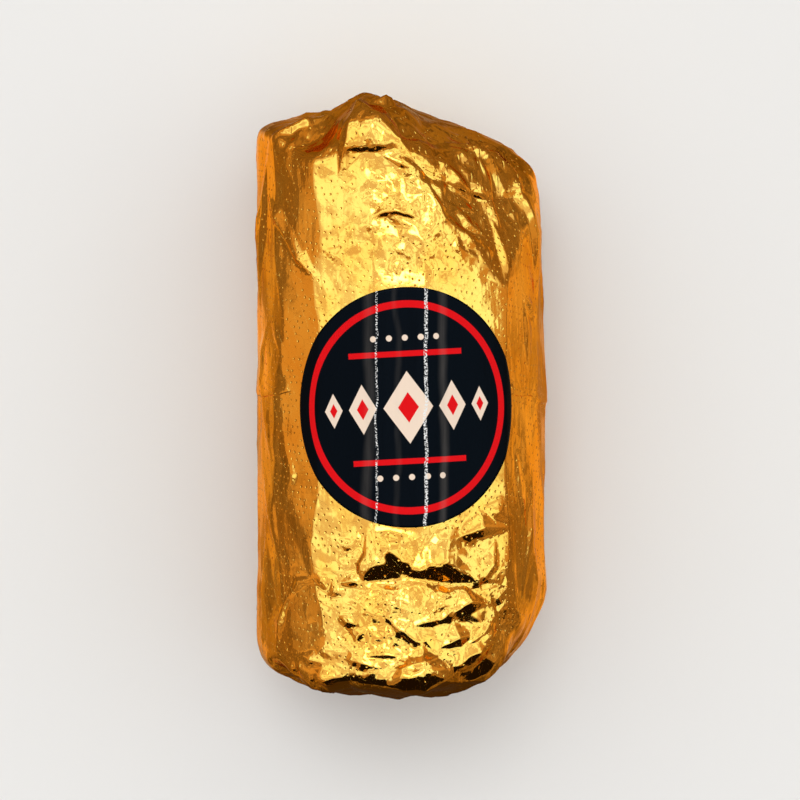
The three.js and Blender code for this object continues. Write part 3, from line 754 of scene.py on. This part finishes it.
class Num:
    """A number socket of a node tree that can be used in ordinary sums."""

    def __init__(self, tree, socket):
        self.tree = tree
        self.socket = socket

    def _math(self, operation, *others):
        inputs = dict(enumerate((self, *others)))
        node = add_node(self.tree, "Math", inputs, operation=operation)
        return Num(self.tree, node.outputs[0])

    def __add__(self, other):
        return self._math("ADD", other)

    def __sub__(self, other):
        return self._math("SUBTRACT", other)

    def __rsub__(self, other):
        return self * -1.0 + other

    def __mul__(self, other):
        return self._math("MULTIPLY", other)

    def __truediv__(self, other):
        return self._math("DIVIDE", other)

    def __abs__(self):
        return self._math("ABSOLUTE")

    def fraction(self):
        return self._math("FRACT")

    def hypot(self, other):
        return (self * self + other * other)._math("SQRT")

    def larger(self, other):
        return self._math("MAXIMUM", other)

    def smooth(self, start, end):
        """0 below start and 1 above end, or the reverse if start is the larger."""
        inputs = {"Value": self, "From Min": min(start, end), "From Max": max(start, end)}
        inputs["To Min"] = float(start > end)
        inputs["To Max"] = float(start <= end)
        node = add_node(self.tree, "MapRange", inputs, interpolation_type="SMOOTHSTEP")
        return Num(self.tree, node.outputs["Result"])


def set_inputs(tree, node, inputs):
    """Link or set some of a node's inputs."""
    for key, value in inputs.items():
        if isinstance(value, Num):
            value = value.socket
        if isinstance(value, bpy.types.NodeSocket):
            tree.links.new(value, node.inputs[key])
        else:
            node.inputs[key].default_value = value


def add_node(tree, kind, inputs=None, **settings):
    """A new shader node with its inputs linked or set."""
    node = tree.nodes.new("ShaderNode" + kind)
    for key, value in settings.items():
        setattr(node, key, value)
    set_inputs(tree, node, inputs or {})
    return node


def new_material(name):
    """A material, its node tree and its Principled shader."""
    material = bpy.data.materials.new(name)
    material.use_nodes = True
    return material, material.node_tree, material.node_tree.nodes["Principled BSDF"]


def numbers_of(tree, socket):
    """The three numbers of a place, a direction or a colour."""
    parts = add_node(tree, "SeparateXYZ", {0: socket})
    return [Num(tree, output) for output in parts.outputs]


def sheet_place(tree):
    """The u and v of the sheet, in millimetres."""
    place = add_node(tree, "UVMap", uv_map="millimetres")
    return numbers_of(tree, place.outputs[0])[:2]


def floor_place(tree):
    """The x and y of the frame, in millimetres."""
    x, y, _ = numbers_of(tree, add_node(tree, "NewGeometry").outputs["Position"])
    return x / MM, y / MM


def mix_colours(tree, share, first, second):
    """`first` where share is 0 and `second` where it is 1."""
    inputs = {0: share, 6: first, 7: second}
    return add_node(tree, "Mix", inputs, data_type="RGBA").outputs[2]


def mix_shaders(tree, share, first, second):
    """The first shader where share is 0 and the second where it is 1."""
    inputs = {0: share, 1: first.outputs[0], 2: second.outputs[0]}
    return add_node(tree, "MixShader", inputs).outputs[0]


def glow_of(tree, level):
    return add_node(tree, "Emission", {"Color": WARM, "Strength": level})


def bump_of(height):
    inputs = {"Height": height, "Strength": 1.0, "Distance": MM}
    return add_node(height.tree, "Bump", inputs).outputs[0]


NOISE_SPREAD = (0.35, 0.65)  # between these lies most of the noise


def noise_at(tree, place, scale, detail):
    inputs = {"Vector": place, "Scale": scale, "Detail": detail}
    return Num(tree, add_node(tree, "TexNoise", inputs).outputs[0])


def noise(u, v, across, along, detail=2.0, offset=0.0):
    """Smooth noise from about 0 to 1, in blotches of `across` by `along`; `offset` picks one."""
    place = add_node(u.tree, "CombineXYZ", {0: u / across, 1: v / along, 2: offset})
    return noise_at(u.tree, place.outputs[0], 1.0, detail)


def ripples(u, v, size, detail=1, offset=0.0):
    """Noise of a size across, a size along, and a height."""
    across, along, high = size
    return noise(u, v, across, along, detail, offset) * high


def pulled_about(u, v, pull, detail, offset):
    """u and v shifted unevenly; `pull` says over what distance, and how far."""
    over, far = pull
    shift_u = noise(u, v, over, over, detail, offset) * far
    shift_v = noise(u, v, over, over, detail, offset + 10.0) * far
    return u + shift_u, v + shift_v


def wander(v, pull, offset=0.0):
    """How far something that runs along v strays to either side."""
    over, far = pull
    return (noise(v * 0.0, v, 1.0, over, offset=offset) - 0.5) * far


# ---- materials ----

GOLD = (0.93, 0.42, 0.06, 1)
DEEP_GOLD = (0.90, 0.36, 0.04, 1)
COLOUR_BLOTCHES = (9.0, 14.0)
COLOUR_EDGES = (0.35, 0.7)
GOLD_EDGE = (1.0, 0.70, 0.42, 1)  # the tint of its grazing reflections
FOIL_ROUGHNESS = (0.07, 0.15)
GLOSS_BLOTCHES = (5.0, 8.0)
# The emboss: slanting rows of pin dots that wander a little. Some are pressed flat.
DOT_PITCH = 1.9
DOT_ROW_PITCH = 1.65
DOT_TURN = math.radians(-8)
DOT_WANDER = (14.0, 3.0)  # over what distance they wander, and how far
DOTS_MISSING = 0.2  # the share of the dots that are pressed flat
DOT_RADIUS = 0.4
DOT_DEPTH = 0.25
DOT_SHALLOWEST = 0.4  # as a share of that depth
DOT_BLOTCHES = (16.0, 22.0)
# Fine relief, each as its size across and along the roll, and its height.
RIDGES = (3.4, 5.0, 0.13)
FINE_FACETS = (2.6, 4.6, 0.22)
LONG_WRINKLES = (1.8, 11.0, 0.05)
GRAIN = (1.4, 1.9, 0.022)
FINE_FACET_TURN = math.radians(35)
FINE_FACET_BEND = (6.0, 5.0)
# The edge of the foil sheet, which runs round the flanks and the back.
SEAM_V = -1.0
SEAM_STEP = 0.6
SEAM_HALF = 0.2  # half the width over which it rises
SEAM_FADE = 5.0  # how far from its edge the lap of the sheet has sunk back
SEAM_WANDER = (40.0, 14.0)
SEAM_ENDS = (33.0, 36.0)  # millimetres round from the top where it starts


def tilted_facets(u, v, across, along):
    """Flat facets of about `across` by `along` millimetres, each with a small random slope."""
    tree = u.tree
    place = add_node(tree, "CombineXYZ", {0: u / across, 1: v / along})
    inputs = {"Vector": place.outputs[0], "Scale": 1.0}
    cells = add_node(tree, "TexVoronoi", inputs, voronoi_dimensions="2D")
    middle_u, middle_v, _ = numbers_of(tree, cells.outputs["Position"])
    slope_u, slope_v, _ = numbers_of(tree, cells.outputs["Color"])
    rise_u = (u / across - middle_u) * (slope_u - 0.5)
    rise_v = (v / along - middle_v) * (slope_v - 0.5)
    return rise_u * across + rise_v * along


def dot_heights(u, v):
    """The pin-dot emboss, pressed into the foil."""
    column, row = turned(*pulled_about(u, v, DOT_WANDER, 1, 21.0), DOT_TURN)
    row = row / DOT_ROW_PITCH
    row_number = row - row.fraction()
    column = column / DOT_PITCH + (row_number / 2).fraction()
    cell = add_node(u.tree, "CombineXYZ", {0: column - column.fraction(), 1: row_number})
    inputs = {"Vector": cell.outputs[0]}
    chance = add_node(u.tree, "TexWhiteNoise", inputs, noise_dimensions="2D")
    chance = Num(u.tree, chance.outputs["Value"]).smooth(DOTS_MISSING, 1.0)
    across_dot = (column.fraction() - 0.5) * DOT_PITCH
    from_dot = across_dot.hypot((row.fraction() - 0.5) * DOT_ROW_PITCH)
    pressed = noise(u, v, *DOT_BLOTCHES, 1, 5.0).smooth(*NOISE_SPREAD)
    deepness = between(pressed, DOT_SHALLOWEST, 1.0)
    return from_dot.smooth(DOT_RADIUS, 0.0) * deepness * chance * -DOT_DEPTH


def wrinkle_heights(u, v):
    """The fine ridges and facets of the crumpled parts, and the wrinkles that run everywhere."""
    crumple = add_node(u.tree, "Attribute", attribute_name="crumple").outputs["Fac"]
    across, along, high = RIDGES
    ridges = abs(noise(u, v, across, along, 1, 7.0) - 0.5) * high
    bent = pulled_about(u, v, FINE_FACET_BEND, 2, 41.0)
    across, along, high = FINE_FACETS
    facets = tilted_facets(*turned(*bent, FINE_FACET_TURN), across, along) * high
    everywhere = ripples(u, v, LONG_WRINKLES) + ripples(u, v, GRAIN, offset=17.0)
    return (ridges + facets) * Num(u.tree, crumple) + everywhere


def seam_heights(u, v):
    """The lap of the foil sheet's edge, which sinks back a little way behind it."""
    over, far = SEAM_WANDER
    beyond = v - SEAM_V + (noise(u, v * 0.0, over, 1.0, offset=13.0) - 0.5) * far
    lap = beyond.smooth(-SEAM_HALF, SEAM_HALF) * beyond.smooth(SEAM_FADE, SEAM_HALF)
    round_back = u.smooth(*SEAM_ENDS) * u.smooth(*(AROUND - end for end in SEAM_ENDS))
    return lap * round_back * SEAM_STEP


def foil_material():
    """Thin gold foil: a pin-dot emboss, fine wrinkles along the roll, and facets where crumpled."""
    material, tree, shader = new_material("gold_foil")
    u, v = sheet_place(tree)
    height = dot_heights(u, v) + wrinkle_heights(u, v) + seam_heights(u, v)
    blotches = noise(u, v, *COLOUR_BLOTCHES, offset=3.0).smooth(*COLOUR_EDGES)
    gloss = noise(u, v, *GLOSS_BLOTCHES, offset=11.0)
    look = {"Metallic": 1.0, "Specular Tint": GOLD_EDGE, "Normal": bump_of(height)}
    look["Base Color"] = mix_colours(tree, blotches, GOLD, DEEP_GOLD)
    look["Roughness"] = between(gloss, *FOIL_ROUGHNESS)
    set_inputs(tree, shader, look)
    return material


INK_BLACK = (0.0015, 0.0025, 0.004, 1)
INK_RED = (0.72, 0.006, 0.009, 1)
INK_CREAM = (0.84, 0.67, 0.53, 1)
PAPER_WHITE = (0.8, 0.8, 0.78, 1)
LABEL_ROUGHNESS = (0.2, 0.32)
LABEL_GLOSS_BLOTCHES = (6.0, 10.0)
LABEL_SPECULAR = 0.02
LABEL_RIPPLE = (3.0, 14.0, 0.12)  # its size across and along, and its height
SOFT_EDGE = 0.16  # millimetres over which one ink gives way to another
PRINT_TURN = math.radians(3)
RING = (27.3, 0.95)  # the red ring's radius and half its width
# The print is the same to the left and right, and above and below. A lozenge is its centre, half
# its width and half its height, and a bar its height on the sticker, half length and half width.
LOZENGES = [(0.0, 6.6, 9.6), (12.2, 3.9, 6.6), (20.5, 2.6, 4.6)]
LOZENGE_CORE = 0.42
BAR = (14.2, 15.5, 0.75)
DOT_ROW = 18.4
DOT_SPACING = 4.2
DOT_ROW_HALF = 9.5
PRINT_DOT = 0.8
# The worn lines along the creases: half their width, and above what speckle the ink is gone.
WORN_LINES = ((0.16, 0.53), (0.34, 0.50))
WORN_SOFTNESS = 0.2  # how much wider they fade out
WORN_WANDER = (9.0, 2.2)
SPECKLE_SIZE = 0.45
SPECKLE_SOFTNESS = 0.05
# Painted sheen: faint grey streaks for gloss along the creases: place across it, half width, and
# strength.
PAINTED_SHEEN_STREAKS = ((-10.5, 2.2, 0.16), (9.6, 1.8, 0.2), (-3.0, 1.2, 0.08))
SHEEN_STREAK_WANDER = (22.0, 5.0)
SHEEN_STREAK_GRAIN = (1.2, 16.0)
PAINTED_SHEEN_GREY = (0.34, 0.3, 0.27, 1)


def printed_shapes(u, v):
    """Where the sticker is red and where it is cream, as shares from 0 to 1."""
    def inside(distance, half):
        return distance.smooth(half + SOFT_EDGE / 2, half - SOFT_EDGE / 2)

    across = abs(u)
    upright = abs(v)
    height, half_length, half_width = BAR
    bars = inside(abs(upright - height), half_width) * inside(across, half_length)
    red = inside(abs(u.hypot(v) - RING[0]), RING[1]).larger(bars)
    step = ((u / DOT_SPACING + 0.5).fraction() - 0.5) * DOT_SPACING
    cream = inside(step.hypot(upright - DOT_ROW), PRINT_DOT) * inside(across, DOT_ROW_HALF)
    for centre, half_wide, half_high in LOZENGES:
        far = (abs(across - centre) / half_wide + upright / half_high) * half_wide
        cream = cream.larger(inside(far, half_wide))
        red = red.larger(inside(far, half_wide * LOZENGE_CORE))
    return red, cream


def label_material():
    """A glossy black sticker with a generic pattern, worn white along two creases."""
    material, tree, shader = new_material("label_print")
    u, v = sheet_place(tree)
    red, cream = printed_shapes(*turned(u, v, PRINT_TURN))
    colour = mix_colours(tree, cream, INK_BLACK, INK_CREAM)
    colour = mix_colours(tree, red, colour, INK_RED)
    # Painted sheen: grey streaks mixed into the ink's colour stand in for gloss highlights along
    # the creases.
    for centre, half, amount in PAINTED_SHEEN_STREAKS:
        painted_sheen = abs(u - centre + wander(v, SHEEN_STREAK_WANDER, centre)).smooth(half, 0.0)
        painted_sheen = painted_sheen * noise(u, v, *SHEEN_STREAK_GRAIN, offset=centre)
        colour = mix_colours(tree, painted_sheen * amount, colour, PAINTED_SHEEN_GREY)
    speckle = noise(u, v, SPECKLE_SIZE, SPECKLE_SIZE, detail=3)
    for crease, (half, least) in zip(LABEL_CREASES, WORN_LINES):
        line = abs(u - crease + wander(v, WORN_WANDER)).smooth(half + WORN_SOFTNESS, half)
        worn = line * speckle.smooth(least - SPECKLE_SOFTNESS, least + SPECKLE_SOFTNESS)
        colour = mix_colours(tree, worn, colour, PAPER_WHITE)
    look = {"Base Color": colour, "Specular IOR Level": LABEL_SPECULAR}
    look["Roughness"] = between(noise(u, v, *LABEL_GLOSS_BLOTCHES), *LABEL_ROUGHNESS)
    look["Normal"] = bump_of(ripples(u, v, LABEL_RIPPLE, detail=2))
    set_inputs(tree, shader, look)
    return material


# ---- studio ----

# The softbox overhead is a window of directions, each edge at an angle from straight up. It is
# uneven, from dim to bright patches.
SOFTBOX_EDGES = {"left": 73, "right": 86, "back": 70, "front": 34}
SOFTBOX_SOFTNESS = 0.1
SOFTBOX_LEVELS = (0.86, 1.5)
SOFTBOX_WARM = (1.04, 1.18, 1.45, 1)  # the tint of its dim parts
SOFTBOX_COOL = (0.86, 1.5, 2.2, 1)  # and of its bright ones
SOFTBOX_PATCHES = 5.0
PATCH_EDGES = (0.44, 0.56)
LAMP_LEVEL = 3.5
LAMP_PLACE = (-0.1, 0.3, 0.95)  # the direction of a small lamp within the softbox
LAMP_EDGES = (0.965, 0.99)  # the cosines where its glow starts and is whole
# The dim surroundings below the softbox.
WARM = (1.0, 0.76, 0.42, 1)  # their tint, and that of the floor's reflection
HORIZON_LEFT = 0.58
HORIZON_RIGHT = 0.44
HORIZON_TURN = (-0.4, 0.6)  # the x of a direction, where it goes from left to right
HORIZON_UNEVEN = (0.55, 1.35)  # how much dimmer and brighter parts of it are
HORIZON_PATCHES = 4.0
DIFFUSE_SHARE = 0.95  # how much of the light reaches matt surfaces, on which it falls white
WHITE = (1, 1, 1, 1)
PALE = (0.80, 0.79, 0.77, 1)  # the floor, and what the camera sees past it

FLOOR_HALF = 1500.0
FLOOR_ROUGHNESS = 0.9
FLOOR_SPECULAR = 0.1
# The floor as the foil reflects it, a painted reflection that glows: pale beside the roll, dim
# further off. A pair of places says
# where a change starts and where it is whole, in millimetres from the middle.
FLOOR_BESIDE = 0.85
FLOOR_FAR = 0.34
BESIDE_X = (125.0, 70.0)
BESIDE_Y = (120.0, 80.0)
RIGHT_START = (0.0, 60.0)  # on the right it is pale further out, but not beside the bottom end
RIGHT_END = (270.0, 180.0)
RIGHT_Y = (-45.0, -5.0)
FLOOR_UNEVEN = (0.5, 1.15)
FLOOR_BLOTCHES = (26.0, 42.0)
TOP_START = (70.0, 95.0)
BOTTOM_START = (-70.0, -95.0)
BOTTOM_END = (-1400.0, -900.0)
FLOOR_PAST_BOTTOM = (0.06, 0.5)  # blotchy there, from almost black
BOTTOM_BLOTCHES = (16.0, 30.0)
BOTTOM_BLOTCH_EDGES = (0.42, 0.62)
FLOOR_BLACK = (6.0, 30.0, 75.0)  # an x, how far round it the dark is even, and where that ends

# Cards that light parts of the flanks: each one's x, the y of its middle, half length, and level.
CARDS = {"left": (-420.0, 5.0, 66.0, 0.76), "right": (420.0, 42.0, 82.0, 0.66)}
CARD_FADE = 0.42  # the share of its half length that is evenly bright
CARD_HEIGHT = 240.0
# A dark flag past the bottom end, which the folds and the bottom end reflect: the x and y of its
# ends, and its lowest and highest z.
FLAG = ((-105.0, -150.0), (165.0, -150.0), (42.0, 222.0))
FLAG_LEVEL = 0.012


def studio_world():
    """A large softbox overhead, dim all round, and a pale background for the camera."""
    world = bpy.data.worlds.new("studio")
    bpy.context.scene.world = world
    world.use_nodes = True
    world.cycles.sampling_method = "NONE"  # so that the tints below know matt surfaces from foil
    tree = world.node_tree
    tree.nodes.clear()
    look = add_node(tree, "TexCoord").outputs["Generated"]
    x, y, z = numbers_of(tree, look)
    window = None
    sides = {"left": (x, 1), "right": (x, -1), "back": (y, -1), "front": (y, 1)}
    for side, (across, sign) in sides.items():
        edge = math.radians(SOFTBOX_EDGES[side])
        beyond = across * (sign * math.cos(edge)) + z * math.sin(edge)
        share = beyond.smooth(0.0, SOFTBOX_SOFTNESS)
        window = share if window is None else window * share
    patches = noise_at(tree, look, SOFTBOX_PATCHES, 4.0).smooth(*PATCH_EDGES)
    lamp = (x * LAMP_PLACE[0] + y * LAMP_PLACE[1] + z * LAMP_PLACE[2]).smooth(*LAMP_EDGES)
    softbox = between(patches, *SOFTBOX_LEVELS) + lamp * LAMP_LEVEL
    uneven = noise_at(tree, look, HORIZON_PATCHES, 3.0).smooth(*NOISE_SPREAD)
    horizon = between(x.smooth(*HORIZON_TURN), HORIZON_LEFT, HORIZON_RIGHT)
    horizon = horizon * between(uneven, *HORIZON_UNEVEN)
    level = between(window, horizon, softbox)
    rays = add_node(tree, "LightPath")
    diffuse = Num(tree, rays.outputs["Is Diffuse Ray"])
    strength = level * between(diffuse, 1.0, DIFFUSE_SHARE)
    overhead = mix_colours(tree, patches, SOFTBOX_WARM, SOFTBOX_COOL)
    tint = mix_colours(tree, diffuse, mix_colours(tree, window, WARM, overhead), WHITE)
    light = add_node(tree, "Background", {"Color": tint, "Strength": strength})
    plain = add_node(tree, "Background", {"Color": PALE, "Strength": 1.0})
    mixed = mix_shaders(tree, rays.outputs["Is Camera Ray"], light, plain)
    add_node(tree, "OutputWorld", {"Surface": mixed})


def floor_level(x, y):
    """How bright the foil sees the floor at each place."""
    beside = abs(x).smooth(*BESIDE_X)
    right = x.smooth(*RIGHT_START) * x.smooth(*RIGHT_END) * y.smooth(*RIGHT_Y)
    level = between(beside.larger(right) * abs(y).smooth(*BESIDE_Y), FLOOR_FAR, FLOOR_BESIDE)
    level = between(y.smooth(*TOP_START), level, FLOOR_FAR)
    uneven = noise(x, y, *FLOOR_BLOTCHES, detail=3).smooth(*NOISE_SPREAD)
    level = level * between(uneven, *FLOOR_UNEVEN)
    blotches = noise(x, y, *BOTTOM_BLOTCHES, detail=3, offset=4.0)
    low, high = FLOOR_PAST_BOTTOM
    centre, *edges = FLOOR_BLACK
    darker = between(blotches.smooth(*BOTTOM_BLOTCH_EDGES), low, high)
    darker = darker * abs(x - centre).smooth(*edges) + low
    past_bottom = y.smooth(*BOTTOM_START) * y.smooth(*BOTTOM_END)
    return between(past_bottom, level, darker)


def floor_material():
    """A matt pale floor that shows in the foil as a glow, in painted shades of its own."""
    material, tree, shader = new_material("pale_floor")
    look = {"Base Color": PALE, "Roughness": FLOOR_ROUGHNESS, "Specular IOR Level": FLOOR_SPECULAR}
    set_inputs(tree, shader, look)
    glow = glow_of(tree, floor_level(*floor_place(tree)))
    glossy = add_node(tree, "LightPath").outputs["Is Glossy Ray"]
    surface = mix_shaders(tree, glossy, shader, glow)
    set_inputs(tree, tree.nodes["Material Output"], {"Surface": surface})
    return material


def flat_object(name, corners, material):
    """A flat piece between four corners that are in millimetres."""
    mesh = bpy.data.meshes.new(name)
    places = [tuple(value * MM for value in corner) for corner in corners]
    mesh.from_pydata(places, [], [(0, 1, 2, 3)])
    mesh.materials.append(material)
    return add_object(name, mesh)


def pale_floor():
    corners = [(x * FLOOR_HALF, y * FLOOR_HALF, 0) for x, y in ((-1, -1), (1, -1), (1, 1), (-1, 1))]
    floor = flat_object("floor", corners, floor_material())


def stage_card(name, start, end, heights, shine):
    """An upright card that only the foil sees; `shine(tree)` gives its surface."""
    low, high = heights
    corners = [(*start, low), (*end, low), (*end, high), (*start, high)]
    material, tree, _ = new_material(name)
    set_inputs(tree, tree.nodes["Material Output"], {"Surface": shine(tree)})
    card = flat_object(name, corners, material)
    card.visible_camera = False
    card.visible_diffuse = False
    card.visible_shadow = False


def bounce_card(side, x, middle, half, level):
    """A card beside the roll whose glow fades out towards its ends."""
    def shine(tree):
        _, y = floor_place(tree)
        share = abs(y - middle).smooth(half, half * CARD_FADE)
        clear = add_node(tree, "BsdfTransparent")
        return mix_shaders(tree, share, clear, glow_of(tree, level))

    ends = ((x, middle - half), (x, middle + half))
    stage_card(side + "_card", *ends, (0, CARD_HEIGHT), shine)


LENS = 200.0
SENSOR = 36.0
CAMERA_HEIGHT = 1211.0  # above the roll's axis
AIM = (-0.27, -1.69)  # the spot of the frame that it looks straight down on


def place_camera():
    data = bpy.data.cameras.new("camera")
    data.lens = LENS
    data.sensor_width = SENSOR
    camera = add_object("camera", data)
    camera.location = (AIM[0] * MM, AIM[1] * MM, (AXIS[2] + CAMERA_HEIGHT) * MM)
    bpy.context.scene.camera = camera


# ---- the scene ----

foil = foil_mesh(foil_material())
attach(foil, "root")
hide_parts("foil_wrap")

sticker = label_mesh(label_material())
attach(sticker, "root")
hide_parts("round_label")

studio_world()
pale_floor()
for side, card in CARDS.items():
    bounce_card(side, *card)
stage_card("dark_flag", *FLAG, lambda tree: glow_of(tree, FLAG_LEVEL).outputs[0])
place_camera()
bpy.context.scene.view_settings.view_transform = "Standard"
